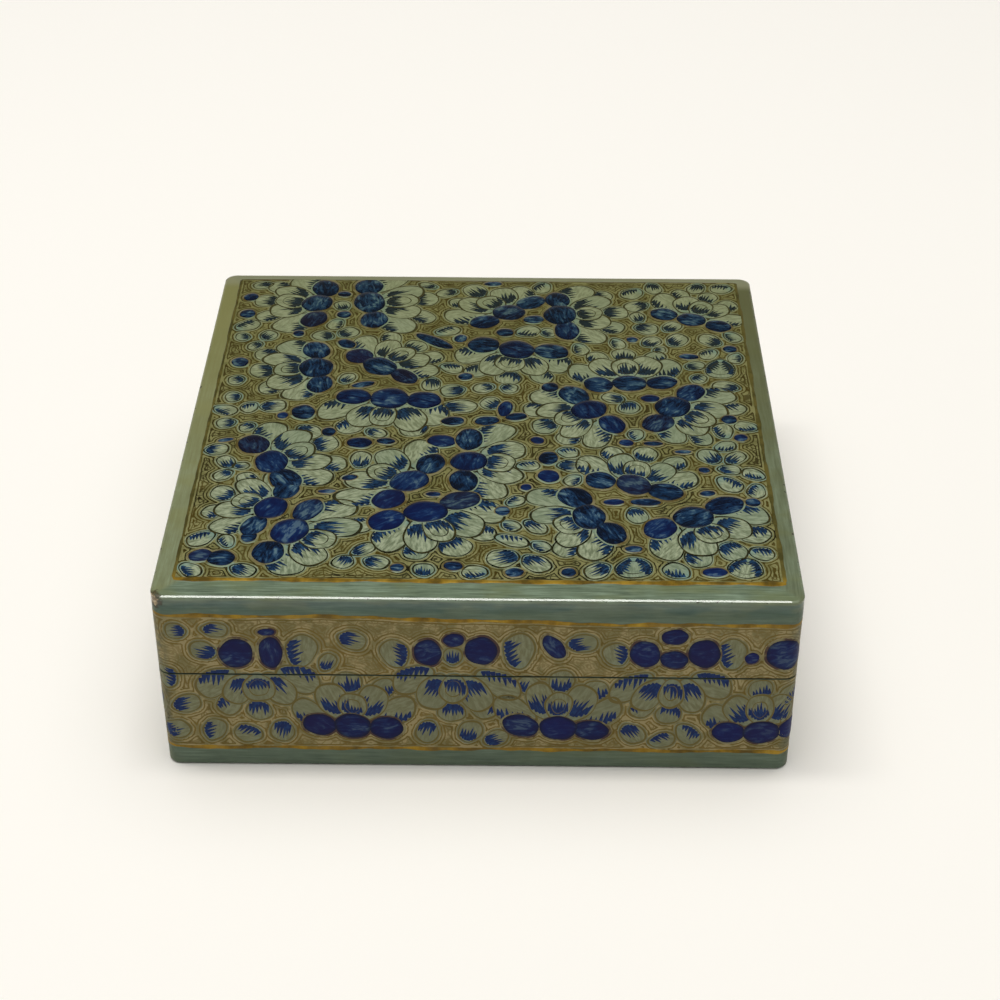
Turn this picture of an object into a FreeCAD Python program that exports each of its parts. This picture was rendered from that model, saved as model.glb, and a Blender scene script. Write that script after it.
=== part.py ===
"""A square papier mache box with a lid that lifts off.

Every length is in millimetres. +Z is up, the front faces -Y, and the origin is the centre of the underside.
The box is glued up from pressed paper boards: a top board on four walls for the lid, and four walls on a floor
board for the base. Four collar strips inside the base stand up past the seam, and the lid slips down over them.
A skin of chalk ground, paint and varnish is built up over the outside of each half.
"""

import FreeCAD
import Part
import os

# Driving dimensions of the whole box
box_width = 111.0  # outside, along X
box_depth = 111.0  # outside, along Y
lid_height = 17.0  # from the seam to the top
base_height = 21.0  # from the underside to the seam

# The painted skin over the outside
skin_thickness = 0.6
skin_corner_radius = 2.4  # of the four upright edges
skin_rim_radius = 1.3  # round the top face and round the underside
seam_reveal = 0.15  # each skin stops this short of the seam, which leaves a thin dark line

# The boards
lid_wall_thickness = 3.0
lid_top_thickness = 3.0
base_floor_thickness = 3.0

# The collar that the lid slips over
collar_thickness = 1.8
collar_rise = 5.0  # how far it stands above the seam
collar_clearance = 0.3  # from the collar to the lid's walls, on every side
collar_lead_in = 0.7  # chamfer on the outer top edge, which guides the lid on

# The papers pasted inside and underneath
ceiling_paper_thickness = 0.4
floor_paper_thickness = 0.4
paper_margin = 0.4  # from a pasted paper to the walls round it
underside_paper_thickness = 0.7
underside_paper_inset = 5.0  # from the outside of the box to the edge of the paper
underside_paper_corner_radius = 3.0
underside_paper_gap = 0.3  # between the paper's edge and the skin's turned-under lip

# One overrun that carries every cutter past the face it starts from
cut_overrun = 5.0

# How edges are told apart, as shares of a length
upright_share = 0.5  # an upright edge climbs by more than this much of its own length
same_height_share = 0.001  # edges this close in height, for the box's width, count as level

# Places that follow from the sizes above
seam_z = base_height
top_z = base_height + lid_height
board_width = box_width - 2 * skin_thickness
board_depth = box_depth - 2 * skin_thickness
board_corner_radius = skin_corner_radius - skin_thickness
board_rim_radius = skin_rim_radius - skin_thickness
lid_board_top_z = top_z - skin_thickness
lid_board_under_z = lid_board_top_z - lid_top_thickness
floor_board_under_z = underside_paper_thickness
floor_board_top_z = floor_board_under_z + base_floor_thickness
base_wall_thickness = lid_wall_thickness + collar_clearance
lip_under_z = floor_board_under_z - skin_thickness
lid_inner_width = board_width - 2 * lid_wall_thickness
lid_inner_depth = board_depth - 2 * lid_wall_thickness
base_inner_width = board_width - 2 * base_wall_thickness
base_inner_depth = board_depth - 2 * base_wall_thickness
collar_inner_width = base_inner_width - 2 * collar_thickness
collar_inner_depth = base_inner_depth - 2 * collar_thickness
collar_top_z = seam_z + collar_rise


def slab(width, depth, low_z, high_z):
    """A plain block centred on the Z axis."""
    corner = FreeCAD.Vector(-width / 2, -depth / 2, low_z)
    return Part.makeBox(width, depth, high_z - low_z, corner)


def is_upright(edge):
    """True for a straight edge that runs along Z."""
    first, last = edge.Vertexes[0].Point, edge.Vertexes[-1].Point
    return abs(first.z - last.z) > upright_share * edge.Length


def lies_at(edge, height):
    """True for an edge that lies flat at this height."""
    box = edge.BoundBox
    span = abs(box.ZMin - height) + abs(box.ZMax - height)
    return span < same_height_share * box_width


def rounded_slab(width, depth, low_z, high_z, corner_radius):
    """A block with its four upright edges rounded."""
    block = slab(width, depth, low_z, high_z)
    return block.makeFillet(corner_radius, [e for e in block.Edges if is_upright(e)])


def round_rim(block, height, radius):
    """The block with the closed loop of edges at this height rounded."""
    return block.makeFillet(radius, [e for e in block.Edges if lies_at(e, height)])


def front_or_back_wall(side, thickness, low_z, high_z):
    """A wall as wide as the box. side is -1 for the front and 1 for the back. Its outer upright edges are rounded."""
    outer_y = side * board_depth / 2
    inner_y = outer_y - side * thickness
    corner = FreeCAD.Vector(-board_width / 2, min(outer_y, inner_y), low_z)
    wall = Part.makeBox(board_width, thickness, high_z - low_z, corner)
    outer = [e for e in wall.Edges if is_upright(e) and side * e.CenterOfMass.y > side * (outer_y + inner_y) / 2]
    return wall.makeFillet(board_corner_radius, outer)


def left_or_right_wall(side, thickness, low_z, high_z):
    """A wall that fits between the front and back walls. side is -1 for the left and 1 for the right."""
    outer_x = side * board_width / 2
    inner_x = outer_x - side * thickness
    length = board_depth - 2 * thickness
    corner = FreeCAD.Vector(min(outer_x, inner_x), -length / 2, low_z)
    return Part.makeBox(thickness, length, high_z - low_z, corner)


def collar_strip(side, across_x):
    """One strip of the collar, from the floor board to collar_rise above the seam.

    across_x is True for the front and back strips, which run the full width, and False for the two between them.
    """
    if across_x:
        length = base_inner_width
        outer = side * base_inner_depth / 2
    else:
        length = base_inner_depth - 2 * collar_thickness
        outer = side * base_inner_width / 2
    inner = outer - side * collar_thickness
    height = collar_top_z - floor_board_top_z
    low = min(outer, inner)
    if across_x:
        corner = FreeCAD.Vector(-length / 2, low, floor_board_top_z)
        strip = Part.makeBox(length, collar_thickness, height, corner)
    else:
        corner = FreeCAD.Vector(low, -length / 2, floor_board_top_z)
        strip = Part.makeBox(collar_thickness, length, height, corner)
    middle = (outer + inner) / 2

    def on_outer_top(edge):
        place = edge.CenterOfMass.y if across_x else edge.CenterOfMass.x
        is_long = edge.Length > length / 2
        return is_long and lies_at(edge, collar_top_z) and side * place > side * middle

    return strip.makeChamfer(collar_lead_in, [e for e in strip.Edges if on_outer_top(e)])


def lid_top_board():
    """The board that closes the lid, with its corners and its upper rim sanded round."""
    block = rounded_slab(board_width, board_depth, lid_board_under_z, lid_board_top_z, board_corner_radius)
    return round_rim(block, lid_board_top_z, board_rim_radius)


def base_floor_board():
    """The board that the base's walls stand on, with its corners and its lower rim sanded round."""
    block = rounded_slab(board_width, board_depth, floor_board_under_z, floor_board_top_z, board_corner_radius)
    return round_rim(block, floor_board_under_z, board_rim_radius)


def lid_painted_skin():
    """Ground, paint and varnish over the top and the four sides of the lid, as one shell."""
    low_z = seam_z + seam_reveal
    outside = rounded_slab(box_width, box_depth, low_z, top_z, skin_corner_radius)
    outside = round_rim(outside, top_z, skin_rim_radius)
    inside = rounded_slab(board_width, board_depth, seam_z - cut_overrun, lid_board_top_z, board_corner_radius)
    inside = round_rim(inside, lid_board_top_z, board_rim_radius)
    return outside.cut(inside)


def base_painted_skin():
    """Ground, paint and varnish over the four sides of the base, turned under to a lip round the underside."""
    high_z = seam_z - seam_reveal
    outside = rounded_slab(box_width, box_depth, lip_under_z, high_z, skin_corner_radius)
    outside = round_rim(outside, lip_under_z, skin_rim_radius)
    inside = rounded_slab(board_width, board_depth, floor_board_under_z, seam_z + cut_overrun, board_corner_radius)
    inside = round_rim(inside, floor_board_under_z, board_rim_radius)
    hole_width = box_width - 2 * underside_paper_inset + 2 * underside_paper_gap
    hole_depth = box_depth - 2 * underside_paper_inset + 2 * underside_paper_gap
    hole_radius = underside_paper_corner_radius + underside_paper_gap
    hole = rounded_slab(hole_width, hole_depth, lip_under_z - cut_overrun, floor_board_top_z, hole_radius)
    return outside.cut(inside).cut(hole)


def ceiling_paper():
    """Paper pasted on the inside of the lid's top board."""
    width = lid_inner_width - 2 * paper_margin
    depth = lid_inner_depth - 2 * paper_margin
    return slab(width, depth, lid_board_under_z - ceiling_paper_thickness, lid_board_under_z)


def floor_paper():
    """Paper pasted on the floor board, inside the collar."""
    width = collar_inner_width - 2 * paper_margin
    depth = collar_inner_depth - 2 * paper_margin
    return slab(width, depth, floor_board_top_z, floor_board_top_z + floor_paper_thickness)


def underside_paper():
    """Paper pasted under the floor board. The box rests on it."""
    width = box_width - 2 * underside_paper_inset
    depth = box_depth - 2 * underside_paper_inset
    return rounded_slab(width, depth, 0, floor_board_under_z, underside_paper_corner_radius)


def all_parts():
    """Every piece of the box, by name."""
    parts = {
        "lid_painted_skin": lid_painted_skin(),
        "lid_top_board": lid_top_board(),
        "lid_ceiling_paper": ceiling_paper(),
        "base_painted_skin": base_painted_skin(),
        "base_floor_board": base_floor_board(),
        "base_floor_paper": floor_paper(),
        "base_underside_paper": underside_paper(),
    }
    for name, side in (("front", -1), ("back", 1)):
        parts[f"lid_{name}_wall"] = front_or_back_wall(side, lid_wall_thickness, seam_z, lid_board_under_z)
        parts[f"base_{name}_wall"] = front_or_back_wall(side, base_wall_thickness, floor_board_top_z, seam_z)
        parts[f"collar_{name}_strip"] = collar_strip(side, across_x=True)
    for name, side in (("left", -1), ("right", 1)):
        parts[f"lid_{name}_wall"] = left_or_right_wall(side, lid_wall_thickness, seam_z, lid_board_under_z)
        parts[f"base_{name}_wall"] = left_or_right_wall(side, base_wall_thickness, floor_board_top_z, seam_z)
        parts[f"collar_{name}_strip"] = collar_strip(side, across_x=False)
    return parts


os.makedirs("parts", exist_ok=True)
for node, shape in all_parts().items():
    solids = shape.Solids
    piece = solids[0] if len(solids) == 1 else Part.makeCompound(solids)
    piece.exportStep(f"parts/{node}.step")
    print(f"{node}: {len(solids)} solid, valid {piece.isValid()}, {piece.Volume:.1f} mm3")
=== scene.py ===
# %% [markdown]
# # A painted papier mache box
# This file dresses a square box in its painted and varnished skin. The boards, the collar and the papers
# come from the frame and only get a finish here. The painted skin is made new, because its look is in its
# paint: a plain sage border, a khaki ground drawn over with fine gold lines, and flowers of deep blue beads
# and pale petals. Each kind of paint is a thin layer of its own, laid over the one below, just as it was
# brushed on.

# %% Load the frame
import math

import bmesh
import bpy
import numpy as np
from mathutils import Matrix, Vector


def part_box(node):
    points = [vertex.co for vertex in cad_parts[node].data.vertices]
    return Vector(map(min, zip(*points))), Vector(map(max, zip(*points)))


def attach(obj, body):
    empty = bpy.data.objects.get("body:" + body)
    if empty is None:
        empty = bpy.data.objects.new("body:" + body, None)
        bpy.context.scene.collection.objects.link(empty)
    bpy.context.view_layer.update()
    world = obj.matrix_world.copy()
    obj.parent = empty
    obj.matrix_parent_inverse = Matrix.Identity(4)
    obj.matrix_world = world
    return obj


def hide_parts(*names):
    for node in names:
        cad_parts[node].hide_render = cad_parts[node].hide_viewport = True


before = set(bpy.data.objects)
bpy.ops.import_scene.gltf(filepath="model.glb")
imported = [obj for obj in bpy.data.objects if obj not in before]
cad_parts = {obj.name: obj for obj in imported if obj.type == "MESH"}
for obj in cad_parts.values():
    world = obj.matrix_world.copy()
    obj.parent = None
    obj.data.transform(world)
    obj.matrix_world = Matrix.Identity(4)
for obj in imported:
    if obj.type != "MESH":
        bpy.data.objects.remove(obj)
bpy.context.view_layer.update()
print("nodes in the frame:", len(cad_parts))

# %% [markdown]
# ## Sizes
# Everything is measured in millimetres here and turned into metres when a mesh is made. The overall sizes
# are read from the frame, so the paint always lies on the box that it belongs to.

# %% Sizes of the box
mm = 0.001
skin_low, skin_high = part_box("lid_painted_skin")
board_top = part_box("lid_top_board")[1].z / mm
base_low, base_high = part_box("base_painted_skin")
half_width = skin_high.x / mm
half_depth = skin_high.y / mm
top_height = skin_high.z / mm
lid_edge_height = skin_low.z / mm
base_edge_height = base_high.z / mm
base_foot_height = base_low.z / mm
skin_thickness = top_height - board_top
corner_radius = 2.4
rim_radius = 1.3
print(f"box {2 * half_width:.1f} by {2 * half_depth:.1f} by {top_height:.1f} mm, skin {skin_thickness:.2f}")

# %% Sizes of the painting
relief_allowance = 0.20  # the surface lies this far inside the frame's, which leaves room for the paint
border_left, border_front, border_right, border_rear = 3.7, 5.3, 3.3, 2.3
side_border = 4.8  # from the top down to the gold line on the sides
foot_border = 4.2  # from the underside up to the lower gold line
panel_low = np.array([-half_width + border_left, -half_depth + border_front])
panel_high = np.array([half_width - border_right, half_depth - border_rear])
print("panel", panel_low, "to", panel_high)

# %% [markdown]
# ## Colours
# A colour is written as it looks, in red, green and blue from 0 to 255. Blender's shaders want the light
# that it stands for, so one function turns the one into the other.


# %% Colour helper
def paint(red, green, reflected_blue):
    """A colour as seen, turned into linear light: each channel's share, raised by the screen's curve."""
    share = np.array([red, green, reflected_blue]) / 255
    low = share / 12.92
    high = ((share + 0.055) / 1.055) ** 2.4
    return (*np.where(share <= 0.04045, low, high), 1.0)


# %% [markdown]
# ## Writing materials as sums
# A material is a net of nodes. Wiring each one by hand hides what it computes, so a small class stands for
# a socket and lets the sums be written as sums. Another holds a tree of nodes and adds any other node.


# %% Sockets that can be added and multiplied
def maths(operation, reflected=False):
    """A method that adds a Math node with this operation. Reflected, the other value comes first."""

    def method(self, *other):
        values = (*other, self) if reflected else (self, *other)
        return self.net.node("ShaderNodeMath", {"operation": operation}, dict(enumerate(values)))

    return method


class Signal:
    """A number that varies over a surface. An operator on it adds a Math node and gives its result."""

    def __init__(self, net, socket):
        self.net = net
        self.socket = socket

    __add__ = __radd__ = maths("ADD")
    __mul__ = __rmul__ = maths("MULTIPLY")
    __sub__, __rsub__ = maths("SUBTRACT"), maths("SUBTRACT", reflected=True)
    __truediv__ = maths("DIVIDE")
    least, most = maths("MINIMUM"), maths("MAXIMUM")
    size, fraction = maths("ABSOLUTE"), maths("FRACT")

    def step(self, low, high):
        """0 up to low, 1 from high, and a smooth climb between them. low above high turns it round."""
        settings = {"interpolation_type": "SMOOTHSTEP", "clamp": True}
        return self.net.node("ShaderNodeMapRange", settings, {0: self, 1: low, 2: high, 3: 0.0, 4: 1.0})


class Net:
    """A tree of nodes, and short ways to add to it."""

    def __init__(self, tree):
        self.tree = tree

    def node(self, kind, settings, inputs, output=0):
        """Adds any node: its type, its settings, then each socket's value or link, by name or number."""
        made = self.tree.nodes.new(kind)
        stops = settings.pop("stops", [])
        for setting, value in settings.items():
            setattr(made, setting, value)
        for _ in stops[2:]:
            made.color_ramp.elements.new(0.5)
        for number, (place, colour) in enumerate(stops):
            made.color_ramp.elements[number].position = place
            made.color_ramp.elements[number].color = colour
        for socket, value in inputs.items():
            if isinstance(value, Signal):
                self.tree.links.new(value.socket, made.inputs[socket])
            else:
                made.inputs[socket].default_value = value
        return Signal(self, made.outputs[output])

    def attribute(self, name, output="Fac"):
        return self.node("ShaderNodeAttribute", {"attribute_name": name}, {}, output)

    def split(self, vector):
        """The three numbers of a vector."""
        made = self.node("ShaderNodeSeparateXYZ", {}, {0: vector})
        return [Signal(self, socket) for socket in made.socket.node.outputs]

    def join(self, x, y, z):
        return self.node("ShaderNodeCombineXYZ", {}, {0: x, 1: y, 2: z})

    def noise(self, vector, scale, detail=3.0, roughness=0.55, distortion=0.0):
        inputs = {"Vector": vector, "Scale": scale, "Detail": detail, "Roughness": roughness}
        return self.node("ShaderNodeTexNoise", {}, {**inputs, "Distortion": distortion}, "Fac")

    def ramp(self, factor, *stops):
        """A colour that changes with the factor. Each stop is a place from 0 to 1 and a colour."""
        return self.node("ShaderNodeValToRGB", {"stops": stops}, {0: factor})

    def shades(self, factor, *stops):
        """The same, with each stop as a place, red, green and blue."""
        return self.ramp(factor, *[(place, paint(*colour)) for place, *colour in stops])

    def mix(self, first, second, factor, blend="MIX"):
        """A colour between two others."""
        settings = {"data_type": "RGBA", "blend_type": blend}
        return self.node("ShaderNodeMix", settings, {0: factor, 6: first, 7: second}, 2)


# %% [markdown]
# ## A recipe for each paint
# A recipe is one material. It knows where a point lies on the box, and it keeps the colour that it has so
# far in `body`. Each `lay` puts another colour over it, as much as a factor says, and `finish` ends the
# recipe.
#
# All of the outside lies under one coat of copal varnish, so every paint has the same shader constants: a
# moderate gloss in the paint itself, and a clear coat over it. What differs is the colour and the small
# relief.

# %% Recipes and the varnish
varnish = {"Coat Roughness": 0.05, "Roughness": 0.45, "Specular IOR Level": 0.04}
satin_black = {"Coat Weight": 0.25, "Coat Roughness": 0.30, "Roughness": 0.50, "Specular IOR Level": 0.35}
per_mm = 1 / mm  # a noise scale, so that 0.5 * per_mm is one blotch in two millimetres


class Recipe(Net):
    """A material with one shader. Its x, y and z are Blender's Object coordinates, in metres."""

    def __init__(self, name, constants):
        self.material = bpy.data.materials.new(name)
        self.material.use_nodes = True
        super().__init__(self.material.node_tree)
        self.shader = self.tree.nodes["Principled BSDF"]
        for socket, value in constants.items():
            self.shader.inputs[socket].default_value = value

    def locate(self):
        self.place = self.node("ShaderNodeTexCoord", {}, {}, "Object")
        self.x, self.y, self.z = self.split(self.place)
        return self

    def depth(self, start, stop):
        """0 at the first number of millimetres below the top, 1 at the second."""
        return self.z.step((top_height - start) * mm, (top_height - stop) * mm)

    @property
    def on_sides(self):
        """1 on the band round the sides, 0 on the top."""
        return self.depth(3, 5)

    @property
    def rear_haze(self):
        """0 at the front, 1 at the rear, where paints take on a painted haze."""
        return self.y.step(-half_depth * mm, half_depth * mm)

    def here(self, blotches, detail=3.0, roughness=0.55, stretch=None):
        """Noise over the place, with this many blotches in a millimetre. stretch scales it by axis."""
        place = self.place
        if stretch:
            place = self.node("ShaderNodeMapping", {}, {"Vector": place, "Scale": stretch})
        return self.noise(place, blotches * per_mm, detail, roughness)

    def lay(self, colour, factor):
        self.body = self.mix(self.body, colour, factor)

    def feed(self, **sockets):
        for name, value in sockets.items():
            self.tree.links.new(value.socket, self.shader.inputs[name.replace("_", " ")])

    def bump(self, height, distance, strength=0.5):
        inputs = {"Strength": strength, "Distance": distance * mm, "Height": height}
        self.feed(Normal=self.node("ShaderNodeBump", {}, inputs))

    def age_and_rear_haze(self):
        """Puts old varnish over the colour: uneven yellowing, deepened at the back as painted haze, and faint
        dirt.

        The top is still glossy, and fingers have rubbed the sides duller.
        """
        patches = self.here(0.05, 3.0)
        # Painted haze: the yellowing grows from front to back, where the top looks duller and yellower under
        # this light.
        amber_and_rear_haze = (self.y * (1 / (2 * half_depth * mm)) + 0.5 + (patches - 0.5) * 0.8).step(0.0, 1.1)
        self.body = self.mix(self.body, paint(224, 225, 202), amber_and_rear_haze * 0.9, "MULTIPLY")
        self.lay(paint(58, 52, 34), self.here(0.9, 5.0, 0.7).step(0.62, 0.78) * 0.3)
        self.feed(Coat_Weight=self.depth(3, 1) * 0.72 + 0.18)

    def finish(self):
        """Ends a painted recipe with old varnish, and painted haze at the back, over its colour."""
        self.age_and_rear_haze()
        self.feed(Base_Color=self.body)
        return self.material


# %% [markdown]
# ### The sage border
# The border is brushed on along each side, so its streaks run that way. Where the paint has worn off a
# corner, the chalk ground shows. A noise stretched along the stroke makes the streaks. Wear is found from
# where a point lies: it is on an edge if two of its three distances to the outside are small.


# %% Sage border material
def near(distance, reach):
    """0 further than 1.9 mm inside the box's side at this reach, 1 within 0.5 mm of it."""
    return distance.step((reach - 1.9) * mm, (reach - 0.5) * mm)


def sage_border():
    """Streaks, green and olive patches, wear at the edges, one chipped corner and pale specks."""
    it = Recipe("sage_border", varnish).locate()
    x, y, z = it.x, it.y, it.z
    near_x, near_y, near_z = near(x.size(), half_width), near(y.size(), half_depth), near(z, top_height)
    along_x = it.here(1.5, 4.0, 0.6, (0.10, 1.6, 1.6))
    along_y = it.here(1.5, 4.0, 0.6, (1.6, 0.10, 1.6))
    runs_along_y = (x.size() - y.size()).step(-1.0 * mm, 1.0 * mm)
    streak = along_x * (1 - runs_along_y) + along_y * runs_along_y
    streak = streak * 0.7 + it.here(0.22, 4.0) * 0.3
    dark_greens = (0.38, 84, 98, 80), (0.47, 102, 117, 96)
    it.body = it.shades(streak, *dark_greens, (0.55, 112, 128, 106), (0.64, 128, 146, 124))
    it.lay(paint(112, 120, 78), it.here(0.20, stretch=(0.35, 0.9, 0.9)).step(0.46, 0.66) * 0.5)
    olive = it.mix(paint(140, 138, 92), paint(102, 103, 72), x.step(-half_width * mm, half_width * mm))
    # Olive on the left and right borders; its growth towards the back is painted haze.
    it.lay(olive, runs_along_y * (it.rear_haze * 0.55 + 0.40))
    # Painted haze: the border along the back is laid lighter, as it looks under this light.
    it.lay(paint(150, 150, 128), y.step((half_depth - 6) * mm, (half_depth - 3) * mm) * 0.8)
    # Painted shade and reflection: the border's upright face is laid darker than the top, and bluish patches
    # near its top edge paint the pale room mirrored in the varnish.
    reflected_blue = it.here(0.22, stretch=(0.4, 0.4, 1.2)).step(0.44, 0.58) * it.depth(5.0, 1.8)
    face = it.mix(paint(82, 96, 83), paint(46, 77, 79), reflected_blue)
    it.lay(face, it.depth(0.6, 1.2) * 0.6)
    it.lay(paint(82, 74, 50), near_x * near_y * it.here(0.5, 4.0, 0.7).step(0.44, 0.60) * 0.7)
    it.age_and_rear_haze()
    edge = (near_x * near_y).most(near_y * near_z).most(near_x * near_z)
    it.lay(paint(50, 42, 26), (it.here(0.8, 4.0, 0.7) + edge * 0.12 + (edge - 1)).step(0.71, 0.76))
    corner = it.join(-half_width * mm, -half_depth * mm, (top_height - 1.2) * mm)
    away = it.node("ShaderNodeVectorMath", {"operation": "DISTANCE"}, {0: it.place, 1: corner}, "Value")
    away = away + (it.here(0.9, 4.0, 0.65) - 0.5) * 3.4 * mm
    chip = away.step(2.0 * mm, 1.6 * mm)
    it.lay(paint(60, 50, 34), away.step(2.8 * mm, 2.1 * mm) * 0.8)
    it.lay(it.mix(paint(108, 88, 56), paint(190, 170, 132), it.here(1.4).step(0.4, 0.6)), chip)
    # Pale specks: chips down to the chalk, and painted glints of light on the varnish.
    chips_and_glints = it.node("ShaderNodeTexVoronoi", {}, {"Vector": it.place, "Scale": 0.09 * per_mm}, "Distance")
    it.lay(paint(206, 208, 190), chips_and_glints.step(0.045, 0.030))
    it.bump(streak * 0.5 + it.here(0.35, 2.0) * 1.2 - chip * 1.5, 0.03)
    it.feed(Base_Color=it.body)
    return it.material


sage = sage_border()
print("made", sage.name)

# %% [markdown]
# ### The khaki ground and its gold lines
# The ground between the motifs is filled with fine gold lines that echo the motifs' outlines, and meet in
# small loops and triangles where two echoes cross. A mesh point knows how far it is from the nearest motif,
# kept in the attribute `clear` in millimetres. The lines are where that distance, shaken a little by noise,
# has gone through a whole number of spacings. Every gap is then filled in the same hand, whatever its
# shape.


# %% Khaki ground material
echo_spacing = 0.60


def khaki_ground(name, base_colour, line_colour, near_strength, far_strength):
    """Mottled khaki under echo lines and curls, worn at the upright corners."""
    it = Recipe(name, varnish).locate()
    clear = it.attribute("clear")
    shake, wander = it.here(0.9, 2.0, 0.5) - 0.5, it.here(0.25, 2.0, 0.5) - 0.5
    away = clear.step(0.7, 1.5)
    phase = ((clear + shake * (away * 0.9 + 0.3) + wander * 0.25) / echo_spacing + 0.28).fraction()
    line = (phase - 0.5).size().step(0.30, 0.14) * (0.5 + it.here(0.6, 3.0, 0.6) * 0.9).least(1.0)
    cells = {"Vector": it.place, "Scale": 0.62 * per_mm, "Randomness": 1.0}
    curl = it.node("ShaderNodeTexVoronoi", {"feature": "DISTANCE_TO_EDGE"}, cells, "Distance")
    curl_line = curl.step(0.075, 0.03) * clear.step(0.55, 0.95)
    drawn = line.most(curl_line * 0.8) * (near_strength + away * (far_strength - near_strength))
    mottled = it.here(0.35, 4.0, 0.6)
    it.body = it.mix(base_colour, paint(86, 84, 42), mottled.step(0.42, 0.60) * 0.55)
    # Browner gold lines in patches of paint, and towards the back as painted haze.
    browner_lines_and_rear_haze = it.here(0.12, 2.0).step(0.42, 0.58).most(it.rear_haze)
    it.lay(it.mix(line_colour, paint(84, 70, 18), browner_lines_and_rear_haze * 0.65), drawn)
    near_corner = (it.x.size() + it.y.size()).step((2 * half_width - 3.4) * mm, (2 * half_width - 1.2) * mm)
    rubbed = it.here(0.45, 4.0, 0.7)
    it.lay(paint(88, 92, 72), near_corner * rubbed.step(0.40, 0.56) * 0.8)
    it.lay(paint(38, 32, 22), near_corner * rubbed.step(0.62, 0.68))
    it.bump(drawn * 0.6 + mottled * 0.4, 0.02)
    return it.finish()


top_ground = khaki_ground("khaki_ground", paint(131, 129, 84), paint(26, 24, 5), 1.0, 1.0)
side_ground = khaki_ground("khaki_side_ground", paint(148, 136, 96), paint(104, 84, 28), 0.9, 0.45)
print("made", top_ground.name, side_ground.name)

# %% [markdown]
# ### Petals, beads and strokes
# Each painted shape carries an attribute `brush` with three numbers: how far the point is across and along
# its own shape, in millimetres, and a number of its own. Patterns read it, so they turn with each petal and
# no two are alike. The attribute `ring` is 0 at a shape's middle and 1 at its edge.


# %% Petal and bead materials
def brush_recipe(name):
    """A varnished recipe, and the three numbers of the attribute brush."""
    it = Recipe(name, varnish).locate()
    return it, *it.split(it.attribute("brush", "Vector"))


def pale_petal():
    it, across, along, own = brush_recipe("pale_petal")
    grain = it.noise(it.join(across * 1.6, along * 0.45, own * 31), 1.3, 3.0, 0.6)
    it.body = it.shades(grain, (0.38, 106, 116, 90), (0.50, 133, 143, 115), (0.61, 158, 167, 139))
    it.lay(paint(110, 131, 112), (own * 7.3).fraction().step(0.5, 1.0) * 0.45)
    it.lay(paint(92, 98, 66), it.attribute("ring").step(0.70, 1.0) * 0.3)
    # Paler petals towards the back of the top: painted haze.
    it.lay(paint(152, 156, 126), it.rear_haze * (1 - it.on_sides) * 0.45)
    it.lay(paint(106, 102, 72), it.on_sides * 0.7)
    it.lay(paint(112, 142, 134), along.step(3.0, 0.4) * (1 - it.on_sides * 0.7) * 0.75)
    it.bump(grain, 0.012)
    return it.finish()


def deep_bead():
    it, across, along, own = brush_recipe("deep_bead")
    ring = it.attribute("ring")
    streak = it.noise(it.join(across * 1.0, along * 0.30, own * 47), 0.9, 4.0, 0.65, 1.2)
    blotch = it.noise(it.join(across * 0.5, along * 0.4, own * 19 + 7), 0.7, 3.0, 0.6)
    depth = streak * 0.6 + blotch * 0.4 + ((own * 11.3).fraction() - 0.5) * 0.05
    darks = (0.40, 2, 12, 30), (0.455, 5, 24, 48), (0.495, 9, 37, 66)
    lights = (0.53, 22, 52, 84), (0.565, 46, 74, 100), (0.61, 88, 114, 124)
    it.body = it.shades(depth + (0.5 - ring) * 0.06, *darks, *lights)
    # Bluer beads at random, fewer towards the back: that falling off is painted haze.
    it.lay(paint(8, 28, 96), (own * 5.1).fraction().step(0.55, 0.85) * (1 - it.rear_haze * 0.8) * 0.40)
    it.lay(paint(30, 24, 48), (own * 8.9).fraction().step(0.8, 1.0) * 0.45)
    it.lay(paint(6, 6, 78), it.on_sides * 0.60)
    it.lay(paint(4, 12, 28), ring.step(0.68, 0.95) * 0.8)
    it.bump(streak, 0.02)
    return it.finish()


def bead_edge():
    it, across, *_ = brush_recipe("bead_edge")
    patch = it.here(0.30, 3.0, 0.6)
    it.body = it.shades(patch, (0.40, 88, 76, 36), (0.50, 108, 98, 62), (0.60, 128, 122, 88))
    by_petal = (across * 0.5 + patch * 2).step(1.2, 1.9)
    it.lay(paint(132, 154, 132), by_petal * it.depth(4, 2) * 0.75)
    it.lay(paint(62, 40, 48), it.on_sides * patch.step(0.60, 0.42) * 0.8)
    return it.finish()


# %% Stroke and line materials
def comb_stroke():
    it, across, along, own = brush_recipe("comb_stroke")
    grain = it.noise(it.join(across * 2.0, along * 0.7, own * 13), 1.2, 3.0, 0.6)
    it.body = it.shades(grain, (0.38, 10, 24, 40), (0.50, 16, 40, 68), (0.62, 34, 68, 100))
    # Greyer strokes at random, and more so towards the back, which is painted haze.
    grey_and_rear_haze = (own * 3.7).fraction() * 0.5 + it.y * (0.8 / (half_depth * mm))
    it.lay(paint(32, 41, 38), grey_and_rear_haze.step(-0.1, 0.9) * 0.85)
    it.lay(paint(8, 34, 96), it.on_sides * 0.55)
    return it.finish()


def olive_line():
    it = Recipe("olive_line", varnish).locate()
    grain = it.here(0.7, 3.0, 0.6)
    it.body = it.shades(grain, (0.38, 24, 26, 10), (0.52, 38, 38, 16), (0.64, 64, 58, 26))
    # Paler lines towards the back: painted haze.
    it.lay(paint(94, 88, 48), it.rear_haze * 0.4)
    it.lay(paint(104, 92, 48), it.on_sides * 0.9)
    return it.finish()


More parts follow.
